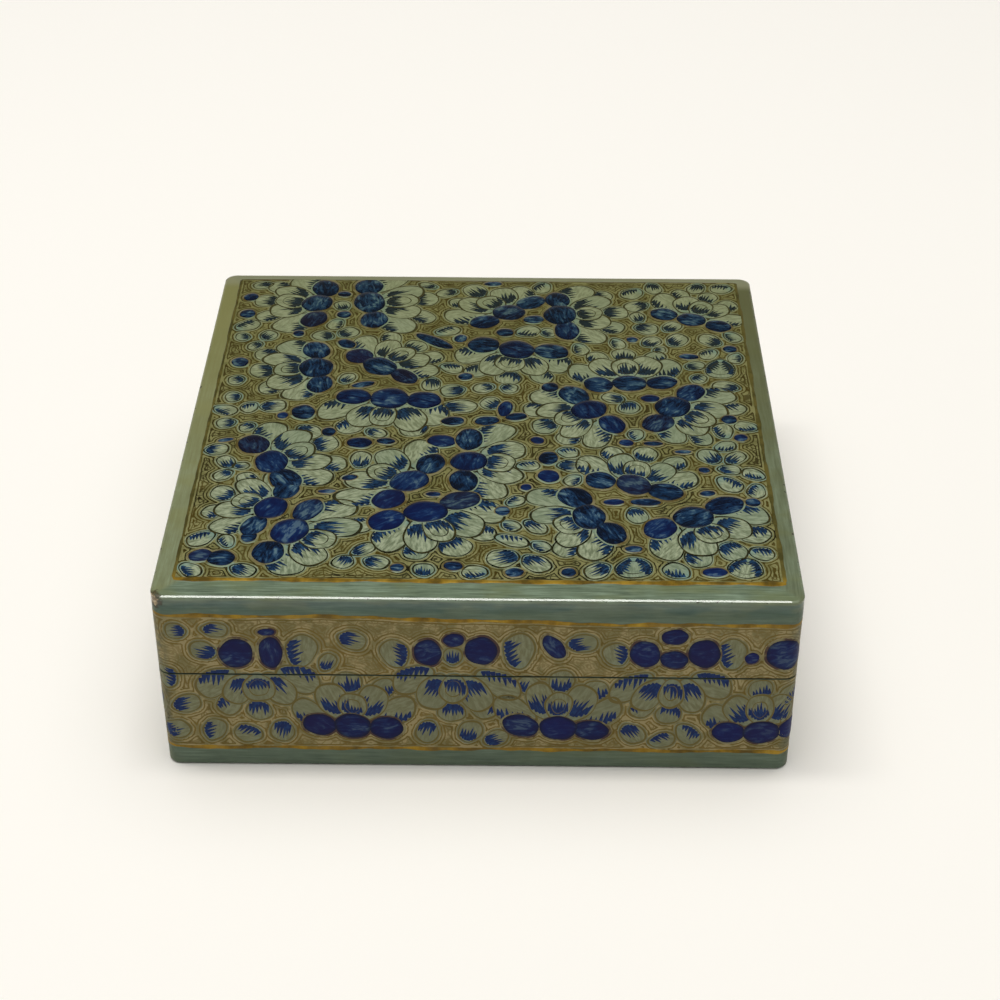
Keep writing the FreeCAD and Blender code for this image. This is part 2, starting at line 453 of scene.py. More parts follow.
def gold_line():
    it = Recipe("gold_line", varnish).locate()
    grain = it.here(0.18, 4.0, 0.65)
    # Painted sheen: along the front the gold is laid brighter, as gold paint there catches the light towards
    # the camera.
    front_sheen = it.shades(grain, (0.38, 92, 72, 20), (0.50, 136, 106, 26), (0.64, 172, 138, 42))
    it.body = it.mix(paint(70, 66, 30), paint(96, 88, 42), grain.step(0.4, 0.6))
    it.lay(front_sheen, it.y.step(-(half_depth - 8) * mm, -(half_depth - 4) * mm))
    it.lay(paint(112, 92, 44), it.here(0.08, 3.0, 0.6).step(0.42, 0.60) * it.on_sides * 0.6)
    return it.finish()


petal_paint, bead_paint, edge_paint = pale_petal(), deep_bead(), bead_edge()
comb_paint, olive_paint, gold_paint = comb_stroke(), olive_line(), gold_line()
print("made", petal_paint.name, bead_paint.name, comb_paint.name, olive_paint.name, gold_paint.name)

# %% [markdown]
# ### The black inside
# The boards, the collar and the papers are brushed black, thinly, so the brush's streaks and some brown
# show. The boards that other pieces cover, but for an edge, get a plain black: nobody sees a streak there.


# %% Black board and paper materials
def brushed_black(name, stretch, brown):
    """Black paint with streaks along the axis where stretch is small."""
    it = Recipe(name, satin_black).locate()
    streak = it.here(1.1, 4.0, 0.65, stretch)
    it.body = it.shades(streak, (0.30, 17, 16, 16), (0.52, 30, 27, 25), (0.72, 46, 40, 35))
    it.lay(paint(88, 60, 38), it.here(0.16, 4.0, 0.7).step(0.60, 0.74) * brown)
    it.bump(streak, 0.05, 0.6)
    it.feed(Base_Color=it.body, Roughness=0.40 + streak * 0.25)
    return it.material


board_black = brushed_black("black_board", (0.2, 0.2, 1.4), 0.5)
paper_black = brushed_black("black_paper", (0.25, 1.4, 1.0), 0.25)
plain_black = Recipe("plain_black_board", {**satin_black, "Base Color": paint(29, 26, 24)}).material
covered = ["lid_top_board", "base_floor_board"]
covered += [f"base_{side}_wall" for side in ("front", "back", "left", "right")]
for node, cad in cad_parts.items():
    finish = plain_black if node in covered else paper_black if "paper" in node else board_black
    cad.data.materials.clear()
    cad.data.materials.append(finish)
print("blackened", len(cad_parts), "nodes")

# %% [markdown]
# ## Putting a mesh together
# A surface is worked out as arrays of points, and its faces follow from the grid's shape. One function puts
# points and faces into a mesh, hangs the attributes on it and makes it ride with its body.


# %% Mesh helpers
def put(name, data):
    """An object of this name in the scene."""
    made = bpy.data.objects.new(name, data)
    bpy.context.scene.collection.objects.link(made)
    return made


def turned(across, along, angle):
    """Two distances at right angles, turned together by an angle in radians."""
    sine, cosine = np.sin(angle), np.cos(angle)
    return across * cosine - along * sine, across * sine + along * cosine


def grid_faces(rows, columns, wrap=False):
    """Quads of a grid whose points run row by row. wrap joins the last column to the first."""
    last = columns if wrap else columns - 1
    row, column = np.meshgrid(np.arange(rows - 1), np.arange(last), indexing="ij")
    after = (column + 1) % columns
    this_row, next_row = row * columns, (row + 1) * columns
    corners = [this_row + column, this_row + after, next_row + after, next_row + column]
    return np.stack(corners, axis=-1).reshape(-1, 4)


def repeated(faces, copies, points_each):
    """The faces of one shape, once for each copy of it, each copy's points following the last one's."""
    return (faces[None] + np.arange(copies)[:, None, None] * points_each).reshape(-1, faces.shape[1])


def trim(mesh, low, high):
    """Cuts a mesh off at the six sides of the box between two corners."""
    work = bmesh.new()
    work.from_mesh(mesh)
    for sign, corner in ((-1, low), (1, high)):
        for direction in np.eye(3) * sign:
            parts = work.verts[:] + work.edges[:] + work.faces[:]
            place = np.array(corner) * mm
            bmesh.ops.bisect_plane(work, geom=parts, plane_co=place, plane_no=direction, clear_outer=True)
    work.to_mesh(mesh)
    work.free()


def add_piece(name, points, face_groups, body, material, attributes=None, keep=None):
    """A mesh of points in millimetres. face_groups are arrays of triangles or quads.

    keep is the two corners of a box to trim it to, and a piece with nothing left in that box isn't made.
    """
    mesh = bpy.data.meshes.new(name)
    mesh.vertices.add(len(points))
    mesh.vertices.foreach_set("co", (np.asarray(points) * mm).astype(np.float32).ravel())
    corners = np.concatenate([group.ravel() for group in face_groups])
    sizes = np.concatenate([np.full(len(group), group.shape[1]) for group in face_groups])
    mesh.loops.add(len(corners))
    mesh.loops.foreach_set("vertex_index", corners.astype(np.int32))
    mesh.polygons.add(len(sizes))
    mesh.polygons.foreach_set("loop_start", (np.cumsum(sizes) - sizes).astype(np.int32))
    mesh.polygons.foreach_set("use_smooth", np.full(len(sizes), True))
    for key, values in (attributes or {}).items():
        kind, field = ("FLOAT", "value") if values.ndim == 1 else ("FLOAT_VECTOR", "vector")
        slot = mesh.attributes.new(key, kind, "POINT")
        slot.data.foreach_set(field, values.astype(np.float32).ravel())
    mesh.update(calc_edges=True)
    mesh.validate()
    if keep:
        trim(mesh, *keep)
    if not mesh.polygons:
        print(f"{name}: nothing of it lies on the {body}")
        bpy.data.meshes.remove(mesh)
        return None
    mesh.materials.append(material)
    piece = put(name, mesh)
    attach(piece, body)
    print(f"{name}: {len(mesh.polygons)} faces")
    return piece


# %% [markdown]
# ## The shape of the skin
# The box is a rounded square. Any ring round it, on the outside or the inside, is the same outline moved in
# by some inset. So the whole skin is a profile, a list of insets and heights, carried round that outline.
# The real one was sanded by hand, so a few slow waves push its faces in by up to a tenth of a millimetre.

# %% The outline and the hand-made waves
side_points = 72
corner_points = 10
side_wave, top_wave = 0.05, 0.04


def ring_outline(low, high, radius):
    """Points and outward directions of a rounded rectangle between two corners.

    Each side is a straight run between two corner arcs. Each arc turns a quarter circle about its own
    centre, so a point is the arc's centre plus radius times the direction.
    """
    middle, reach = (np.add(low, high)) / 2, np.subtract(high, low) / 2 - radius
    turn = np.linspace(0, math.pi / 2, corner_points)
    points, directions = [], []
    for side in range(4):
        start = (side - 1) * math.pi / 2
        halfway = [start - math.pi / 4, start + math.pi / 4]
        corner_from, corner_to = [np.sign([math.cos(angle), math.sin(angle)]) for angle in halfway]
        share = np.linspace(0, 1, side_points + 2)[1:-1, None]
        straight = (corner_from * (1 - share) + corner_to * share) * reach
        outward = np.tile([math.cos(start), math.sin(start)], (side_points, 1))
        arc = np.stack([np.cos(start + turn), np.sin(start + turn)], axis=1)
        points += [middle + straight + radius * outward, middle + corner_to * reach + radius * arc]
        directions += [outward, arc]
    return np.concatenate(points), np.concatenate(directions)


def wave(points):
    """Three slow sine waves over the whole box, from -1 to 1."""
    x, y, z = points[..., 0], points[..., 1], points[..., 2]
    waves = x * 0.083 + z * 0.11 + 0.7, y * 0.071 - z * 0.09 + 2.1, (x + y) * 0.047 + 4.0
    return sum(np.sin(each) for each in waves) / 3


surface_top = top_height - relief_allowance


def on_top(flat):
    """Lays a drawing on the lid: x and y stay, and the paint's height is added to the wavy surface."""
    points = np.array(flat, float)
    points[..., 2] = 0
    points[..., 2] = surface_top - top_wave * (1 + wave(points)) + flat[..., 2]
    return points


straight_run = 2 * (half_width - relief_allowance - corner_radius)
quarter = straight_run + corner_radius * math.pi / 2
girth = 4 * quarter


def on_side(flat):
    """Wraps a drawing round the sides: its x runs round from the middle of the front, and its y is height.

    One quarter of the way round is a straight run and a corner arc. The place in that quarter gives a point
    of the front and its corner, and the number of the quarter turns it about the middle of the box.
    """
    along = np.mod(flat[..., 0] + straight_run / 2, girth)
    number = np.floor(along / quarter)
    along = along - number * quarter
    turn = np.clip((along - straight_run) / corner_radius, 0, math.pi / 2)
    outward_x, outward_y = np.sin(turn), -np.cos(turn)
    x = np.minimum(along, straight_run) - straight_run / 2 + corner_radius * outward_x
    y = -straight_run / 2 + corner_radius * outward_y
    angle = number * math.pi / 2
    points = np.stack([*turned(x, y, angle), flat[..., 1]], axis=-1)
    depth = side_wave * (1 + wave(points)) - flat[..., 2]
    points[..., :2] -= np.stack(turned(outward_x, outward_y, angle), axis=-1) * depth[..., None]
    return points


# %% [markdown]
# ### The two shells
# The lid's profile starts inside the skin, comes out round the seam, climbs the side, turns over the top
# edge and runs in to the middle. The base's profile comes round the foot, climbs the side, and goes over
# the seam, down inside and back over the lip. The top edge was rubbed down by hand, so its round lingers
# at one slant, which is where it catches the light.


# %% Profiles
def shell(profile):
    """Rings of points. A profile's row is an inset, a height, a corner radius and a share of the waves."""
    rows = []
    for inset, height, radius, share in profile:
        reach = np.array([half_width - inset, half_depth - inset])
        flat, direction = ring_outline(-reach, reach, radius)
        ring = np.column_stack([flat, np.full(len(flat), height)])
        ring[:, :2] -= direction * (side_wave * (1 + wave(ring)) * share)[:, None]
        rows.append(ring)
    return np.stack(rows)


def upright_rows(inset, low, high, radius, share):
    heights = np.linspace(low, high, 12)
    return np.column_stack([np.full(12, inset), heights, np.full(12, radius), np.full(12, share)])


round_left = 0.12  # the share of the round's radius that the rubbing left
rubbed_length = 0.34
rubbed_step = 7  # the step of the round that was rubbed flat
rim_turns = np.radians([90, 76, 62, 50, 38, 30, 26.2, 25.4, 23.6, 22.8, 18, 10, 0])


def rim_rows(radius):
    """The round between a side and a flat face, as steps inwards and upwards from the side's end.

    A step is radius times the change of turn, and the rubbed step has a length of its own.
    """
    steps = -radius * np.diff(rim_turns)
    steps[rubbed_step] = rubbed_length
    middle = (rim_turns[1:] + rim_turns[:-1]) / 2
    inward = np.concatenate([[0], np.cumsum(steps * np.cos(middle))])
    upward = np.concatenate([[0], np.cumsum(steps * np.sin(middle))])
    return inward, upward


inward, upward = rim_rows(rim_radius * round_left)
skin = relief_allowance
sliver = 0.01  # keeps faces of the skin and of the boards from lying in one plane
calm_inset, middle_inset = 6.5, 8.0  # the sides' waves are gone from here, and the rings end there
rim_start = surface_top - upward[-1]
turned_radius = corner_radius - 0.7 * inward
rim_share = np.ones(len(inward))
inner_radius = corner_radius - skin_thickness
lid_inside_top = top_height - skin_thickness - sliver
flat_insets = np.linspace(skin + inward[-1], calm_inset, 6)[1:]
flat_shares = np.linspace(0.8, 0, 5)
flat_radius = turned_radius[-1]
lid_profile = np.concatenate([
    [(skin_thickness, height, inner_radius, 0) for height in (lid_inside_top, lid_edge_height)],
    upright_rows(skin, lid_edge_height, rim_start, corner_radius, 1)[:-1],
    np.column_stack([skin + inward, rim_start + upward, turned_radius, rim_share]),
    [(inset, surface_top, flat_radius, share) for inset, share in zip(flat_insets, flat_shares)],
    [(middle_inset, surface_top - 0.15, flat_radius, 0)],
])
foot_surface = base_foot_height + 0.02
lip_inset, lip_radius, lip_top = 4.7, 3.3, base_foot_height + skin_thickness
foot_start = foot_surface + upward[-1]
base_profile = np.concatenate([
    np.column_stack([skin + inward, foot_start - upward, turned_radius, rim_share])[::-1],
    upright_rows(skin, foot_start, base_edge_height, corner_radius, 1)[1:],
    [(skin_thickness, height, inner_radius, 0) for height in (base_edge_height, lip_top + sliver)],
    [(lip_inset, height, lip_radius, 0) for height in (lip_top - sliver, foot_surface)],
])

# %% Build the shells
rings = shell(lid_profile)
wave_reach = 8.0  # the top's waves die out over this much of the side
rise = np.clip((rings[..., 2] - rim_start) / wave_reach + 1, 0, 1)
rise[0] = 0
rings[..., 2] -= top_wave * (1 + wave(rings * [1, 1, 0])) * rise
around = rings.shape[1]
poles = np.array([[0, 0, surface_top - 0.3], [0, 0, lid_inside_top]])
points = np.concatenate([rings.reshape(-1, 3), poles])
step = np.arange(around)
following = (step + 1) % around
last = (len(rings) - 1) * around
top_fan = np.stack([last + step, last + following, np.full(around, len(points) - 2)], axis=1)
inner_fan = np.stack([following, step, np.full(around, len(points) - 1)], axis=1)
faces = [grid_faces(len(rings), around, wrap=True), top_fan, inner_fan]
lid_shell = add_piece("lid_skin", points, faces, "lid", sage)
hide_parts("lid_painted_skin")
rings = shell(base_profile)
rings = np.concatenate([rings, rings[:1]])
closed = grid_faces(len(rings), around, wrap=True) % ((len(rings) - 1) * around)
base_shell = add_piece("base_skin", rings[:-1].reshape(-1, 3), [closed], "base", sage)
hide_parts("base_painted_skin")


# %% [markdown]
# ## Drawing the motifs
# Every petal, bead, berry and brush stroke is a row of numbers: where its base is, which way it points, how
# long and wide it is, how it tapers and bends, how high its paint lies, and which dark comb strokes it
# gets. All rows are worked on together as arrays, so a few lines draw a thousand shapes.

# %% Shapes as rows
row_names = ["x", "y", "turn", "length", "half", "taper", "bend", "level", "comb", "own"]
no_comb, base_comb, right_comb, left_comb, pair_comb = 0, 1, 2, 3, 4
level_column, comb_column = row_names.index("level"), row_names.index("comb")
ground_height = 0.02
first_level, level_step = 0.030, 0.011  # height of the lowest paint, and of each level over the last


def column(rows, name):
    """One number of every row, shaped to spread over the rings and the points of each shape."""
    return rows[:, row_names.index(name)][:, None, None]


def teardrop(rows, share, ring):
    """Points of each shape's outline in its own frame, with its base at zero and its tip up.

    At an angle t, across is half sin t (1 - taper cos t) and along is length (1 - cos t) / 2. Two small
    waves make it uneven, the tip leans by bend times the square of along over the length, and a ring
    below 1 moves the point towards the middle.
    """
    t = 2 * math.pi * share
    half, length, own = column(rows, "half"), column(rows, "length"), column(rows, "own")
    uneven = ring * (1 + 0.045 * np.sin(2 * t + own * 20) + 0.02 * np.sin(5 * t + own * 50))
    across = uneven * half * np.sin(t) * (1 - column(rows, "taper") * np.cos(t))
    along = length / 2 * (1 - uneven * np.cos(t))
    return across + column(rows, "bend") * along**2 / length, along


def middles(rows):
    """The middle of each shape, in its own frame."""
    return teardrop(rows, np.zeros(1), np.zeros((1, 1)))


def placed(rows, across, along):
    """Turns and moves points from each shape's own frame into the drawing."""
    x, y = turned(across, along, np.radians(column(rows, "turn")))
    return column(rows, "x") + x, column(rows, "y") + y


def sheet(rows, across, along, raised):
    """Points in the drawing, raised over each row's level, and what the patterns read at each of them."""
    x, y = placed(rows, across, along)
    height = first_level + level_step * column(rows, "level") + raised
    fields = np.broadcast_arrays(x, y, height, across, along, column(rows, "own"))
    spread = np.stack(fields, axis=-1).reshape(len(rows), -1, 6)
    return spread[..., :3], spread[..., 3:]


# %% Layers of paint
patch_points, outline_points, stroke_points = 28, 40, 8


def patch_layer(rows, crown):
    """Filled shapes: a middle point and rings. The paint stands crown (1 - ring squared) higher.

    At the edge it falls off to nothing.
    """
    ring = np.array([0.35, 0.65, 0.87, 1.0])[:, None]
    around = patch_points
    share = np.arange(around) / around
    middle, middle_brush = sheet(rows, *middles(rows), crown)
    points, brush = sheet(rows, *teardrop(rows, share, ring), crown * (1 - ring**2))
    points[:, -around:, 2] = 0
    each = 1 + points.shape[1]
    step = np.arange(around)
    fan = np.stack([np.zeros(around, int), 1 + step, 1 + (step + 1) % around], axis=1)
    quads = grid_faces(len(ring), around, wrap=True)[:, ::-1] + 1
    rings = np.tile(np.concatenate([[0], np.repeat(ring[:, 0], around)]), len(rows))
    attributes = {"brush": np.concatenate([middle_brush, brush], axis=1).reshape(-1, 3), "ring": rings}
    points = np.concatenate([middle, points], axis=1).reshape(-1, 3)
    return points, [repeated(quads, len(rows), each), repeated(fan, len(rows), each)], attributes


def outline_layer(rows, inset, width):
    """A thin closed line inside each shape's edge. It swells and thins as a brush line does."""
    around = outline_points
    share = np.arange(around) / around
    own = column(rows, "own")
    swell = np.sin(4 * math.pi * share + own * 40) * np.sin(2 * math.pi * share + own * 9)
    size = np.minimum(column(rows, "half"), column(rows, "length") / 2)
    offset = np.array([0.5, 0, -0.5])[:, None] * width * (0.85 + 0.35 * swell)
    across, along = teardrop(rows, share, 1 - (inset - offset) / size)
    points, brush = sheet(rows, across, along, np.array([0.003, 0.007, 0.003])[:, None])
    faces = repeated(grid_faces(3, around, wrap=True), len(rows), 3 * around)
    return points.reshape(-1, 3), [faces], {"brush": brush.reshape(-1, 3)}


def stroke_layer(rows):
    """Brush strokes, drawn out thin: half width times (1 - share) to the power of the taper.

    Over its first tenth a stroke also grows from four fifths of its width, and a fiftieth is left at its tip.
    """
    share = np.linspace(0, 1, stroke_points)[:, None]
    side = np.array([-1, 0, 1])
    body = np.minimum(0.80 + share / 0.5, 1) * (1 - share) ** column(rows, "taper") + 0.02
    along = column(rows, "length") * share
    across = column(rows, "half") * body * side + column(rows, "bend") * along * share
    points, brush = sheet(rows, across, along, 0.002 * (1 - side**2))
    faces = repeated(grid_faces(stroke_points, 3), len(rows), 3 * stroke_points)
    return points.reshape(-1, 3), [faces], {"brush": brush.reshape(-1, 3)}


# %% [markdown]
# ### Comb strokes
# The dark blue comb on a petal is a row of brush strokes, laid side by side from the edge inwards. They run
# together at the edge and part into teeth. A comb starts at the petal's base, along its right or left edge,
# or along both.


# %% Strokes of the combs
comb_inset = 0.42  # from a petal's edge to where its strokes start
fewest_strokes, most_strokes = 4, 8


def comb_strokes(petals, kind):
    """One comb for each petal of this kind, as rows for stroke_layer.

    q goes from 0 to 1 over the comb. It picks a point on the outline, and the stroke aims from there at a
    point further in and nearer the tip. A hash of its number and the petal's own number varies its length.
    """
    wanted = (kind, pair_comb) if kind in (right_comb, left_comb) else (kind,)
    rows = petals[np.isin(petals[:, comb_column], wanted)]
    half, length, own = column(rows, "half"), column(rows, "length"), column(rows, "own")
    number = np.arange(most_strokes)
    count = np.clip(np.round(half * 1.7 + 2.4), fewest_strokes, most_strokes)
    in_flower = column(rows, "level") >= outer_level
    q = (number + 0.5) / count
    luck = np.sin((number + 1 + own * 17) * 12.9898) * 43758.5453 % 1
    arch = np.sin(math.pi * np.minimum(q, 1))
    size = np.minimum(half, length / 2)
    side = {base_comb: 0, right_comb: 1, left_comb: -1}[kind]
    share = side * (0.05 + 0.30 * q) if side else (q - 0.5) * 0.31 + (own - 0.5) * 0.06
    across, along = teardrop(rows, share, 1 - comb_inset / size)
    if kind == base_comb:
        along = along + in_flower * length * 0.10
        aim_across, aim_along = across * 0.35, length * 0.62
        reach = length * (0.32 + 0.28 * luck) * (0.50 + 0.50 * arch) * (1.3 - 0.3 * in_flower)
    else:
        aim_across, aim_along = -side * half * 0.95, half * 0.75
        shortened = np.where(column(rows, "comb") == pair_comb, 0.6, 1)
        reach = half * (0.70 + 0.55 * luck) * (0.45 + 0.65 * arch) * shortened
    width = half * 0.16 + 0.05
    tilt = np.degrees(np.arctan2(-aim_across, aim_along)) + (luck - 0.5) * 14
    x, y = placed(rows, across, along)
    level = column(rows, "level") + 0.22 + 0.03 * number
    turn, bend = column(rows, "turn") + tilt, (luck - 0.5) * 0.25
    fields = [x, y, turn, reach, width, 0.75, bend, level, 0, own + number * 0.03]
    drawn = number < count
    return np.stack([np.broadcast_to(field, drawn.shape)[drawn] for field in fields], axis=1)


# %% [markdown]
# ### One flower
# A flower is three beads in a chain with a fan of petals on one side. Its pieces are written once, as
# shares of the spacing between two beads, for a flower that points up. Placing it turns, scales and shakes
# the copy a little, so that no two are alike. Pieces with a higher level lie on those with a lower one.

# %% The flower's pieces
# across, along, turn, length, half width, taper, bend, level, comb
petal_shares = [
    (-0.60, 1.05, 38, 0.92, 0.36, 0.10, 0.00, 0, left_comb),
    (0.60, 1.05, -38, 0.92, 0.36, 0.10, 0.00, 0, right_comb),
    (0.02, 1.28, 2, 0.80, 0.40, 0.10, 0.00, 0, base_comb),
    (-0.58, 0.15, 60, 1.42, 0.47, 0.25, 0.14, 1, left_comb),
    (0.58, 0.15, -60, 1.42, 0.47, 0.25, -0.14, 1, right_comb),
    (-0.26, 0.28, 28, 1.34, 0.44, 0.20, 0.06, 2, base_comb),
    (0.26, 0.28, -28, 1.34, 0.44, 0.20, -0.06, 2, base_comb),
    (0.00, 0.28, 0, 1.10, 0.42, 0.15, 0.00, 3, base_comb),
]
bead_shares = [
    (-0.42, -0.06, 84, 1.12, 0.45, 0.00, 0.03, 4.6, no_comb),
    (1.54, 0.06, 96, 1.12, 0.45, 0.00, 0.03, 4.6, no_comb),
    (0.61, 0.00, 90, 1.22, 0.52, 0.00, 0.05, 7, no_comb),
]
outer_level = 1
heading_shake, size_shake = 4, 0.05  # degrees, and a share of the size
chance = np.random.default_rng(11)


def place_flower(shares, place, mirror, raise_by):
    """Rows of one flower's pieces, placed. Its heading is the way the petals point, in degrees from +X."""
    x, y, heading, spacing = place
    rows = np.column_stack([np.array(shares, float), chance.random(len(shares))])
    if mirror:
        rows[:, [0, 2, 6]] *= -1
        comb = rows[:, comb_column].copy()
        rows[comb == right_comb, comb_column] = left_comb
        rows[comb == left_comb, comb_column] = right_comb
    rows[:, 2] += chance.normal(0, heading_shake, len(rows))
    rows[:, [3, 4]] *= spacing * (1 + chance.normal(0, size_shake, (len(rows), 2)))
    rows[:, [0, 1]] *= spacing
    across, along = turned(rows[:, 0], rows[:, 1], math.radians(heading - 90))
    rows[:, 0], rows[:, 1] = x + across, y + along
    rows[:, 2] += heading - 90
    rows[:, level_column] += raise_by
    return rows


def flowers_at(places, beaded):
    """Petal rows and bead rows of all the flowers, with the number of the flower that each row belongs to.

    The first ones, as many as beaded says, have a chain. The rest are fans that hang from single beads.
    """
    petals, beads = [], []
    for index, place in enumerate(places):
        mirror = chance.random() < 0.5
        raise_by = 0.19 * (index % 5)
        petals.append(place_flower(petal_shares, place, mirror, raise_by))
        if index < beaded:
            beads.append(place_flower(bead_shares, place, False, raise_by))
    petal_owner = np.repeat(np.arange(len(places)), len(petal_shares))
    bead_owner = np.repeat(np.arange(beaded), len(bead_shares))
    return np.concatenate(petals), np.concatenate(beads), petal_owner, bead_owner


def small_shapes(places):
    """Rows of single petals and berries. A place is a middle, heading, length, half width and comb."""
    x, y, heading, length, half, comb = np.array(places, float).T
    turn = heading - 90
    base_x = x - np.cos(np.radians(heading)) * length / 2
    base_y = y - np.sin(np.radians(heading)) * length / 2
    taper = np.where(comb == no_comb, 0.05, 0.15)
    level = np.where(comb == no_comb, 3.4, 0.5) + 0.11 * (np.arange(len(x)) % 5)
    own = chance.random(len(x))
    return np.stack([base_x, base_y, turn, length, half, taper, 0 * x, level, comb, own], axis=1)


# %% [markdown]
# ### Where the motifs lie on the top
# Places are in millimetres from the middle of the lid, chosen so that the motifs fill the panel as they do
# on the box. Flowers have a heading in degrees and a bead spacing. The small shapes between them have a
# heading, a length, a half width and a kind of comb. Berries have no comb.

# %% Motifs on the top
top_flowers = [
    (-38.9, -14.7, 32, 6.9), (-37.3, -29.3, 154, 5.9), (-33.4, -36.1, -24, 6.9), (-13.0, -20.7, 148, 6.7),
    (-2.5, -13.7, -4, 6.8), (-9.9, -29.7, -62, 7.1), (27.4, -21.7, 74, 6.3), (20.0, -30.7, -150, 6.5),
    (37.9, -31.2, -58, 6.9), (-34.5, 43.1, 175, 6.6), (-24.0, 43.6, 6, 7.0), (-32.8, 18.2, -172, 6.6),
    (-20.5, 18.7, 50, 6.2), (-18.0, 7.2, -96, 7.0), (4.4, 40.1, 128, 6.4), (15.4, 39.1, 8, 6.6),
    (6.4, 26.1, -99, 6.8), (41.8, 38.0, 66, 5.8), (28.3, 13.1, 94, 6.4), (20.9, 3.7, -148, 6.4),
    (36.3, 4.6, -34, 6.6),
]
top_berries = [
    (-47.9, -7.7, 195, 3.2, 0.7), (-23.9, -19.7, 200, 3.2, 1.0), (-28.9, -4.7, -20, 3.0, 1.6),
    (-22.9, -8.3, 0, 5.1, 2.0), (-18.0, -7.7, -5, 3.8, 1.2), (-7.6, -7.5, 0, 5.9, 2.3),
    (-40.2, -38.0, 0, 3.2, 1.9), (-13.9, -46.6, 0, 2.6, 1.3), (-4.3, -46.0, 0, 3.6, 1.5),
    (-27.7, -24.1, 0, 3.6, 0.7), (-8.5, -24.7, 0, 3.2, 0.8), (-48.0, -43.6, 10, 4.6, 2.0),
    (-44.4, -44.3, 0, 5.8, 2.4), (10.3, -7.0, -15, 2.9, 1.3), (8.2, -22.3, 0, 2.2, 1.2),
    (4.0, -29.7, 0, 3.1, 1.5), (15.5, -47.5, 0, 3.0, 1.3), (26.9, -40.7, 0, 3.3, 1.1),
    (40.5, -47.2, 0, 4.7, 1.5), (48.8, -26.5, 0, 3.2, 1.4), (40.9, -23.8, 5, 3.1, 1.0),
    (37.3, -10.5, 0, 3.4, 0.7), (31.9, -7.8, 0, 3.9, 0.9), (26.9, -7.6, 0, 3.0, 1.3),
    (48.4, -5.6, 0, 2.8, 1.4), (23.9, -26.7, 5, 4.1, 1.1), (29.6, -26.7, 0, 6.4, 1.2),
    (40.8, -16.4, 0, 2.3, 1.0), (12.3, -12.9, 5, 4.0, 2.4), (12.3, -18.7, -5, 4.4, 2.3),
    (-49.0, 45.6, 15, 3.4, 1.7), (-49.0, 38.8, 25, 3.8, 1.8), (-48.4, 19.9, 0, 3.7, 2.0),
    (-34.3, 2.0, 0, 5.2, 2.7), (-5.7, -0.7, 0, 4.8, 1.7), (-3.7, 15.2, 10, 3.1, 1.5),
    (-38.1, 0.8, 0, 2.4, 1.2), (-37.8, 31.1, 0, 2.6, 1.3), (-29.7, 47.1, 0, 3.3, 1.2),
    (-29.2, 38.7, 0, 3.4, 1.5), (-10.3, 28.5, -35, 10.2, 1.6), (-27.8, 27.2, -45, 4.4, 1.7),
    (-23.5, 12.0, 15, 5.2, 1.1), (3.9, 32.1, 0, 3.8, 1.8), (9.7, 37.4, 0, 4.8, 1.7),
    (12.8, 11.5, 0, 3.6, 2.0), (32.1, 7.8, 5, 4.2, 1.4), (29.5, 29.7, -10, 2.5, 1.2),
    (48.9, 26.3, 0, 3.0, 1.5), (46.7, 0.6, 0, 3.2, 1.8), (40.5, 23.3, -5, 4.6, 1.1),
    (0.8, -0.5, 195, 5.2, 1.7), (4.2, 3.7, 80, 6.3, 1.5), (6.3, 1.0, 10, 4.5, 1.5),
    (1.2, 52.0, 5, 4.3, 1.0),
]
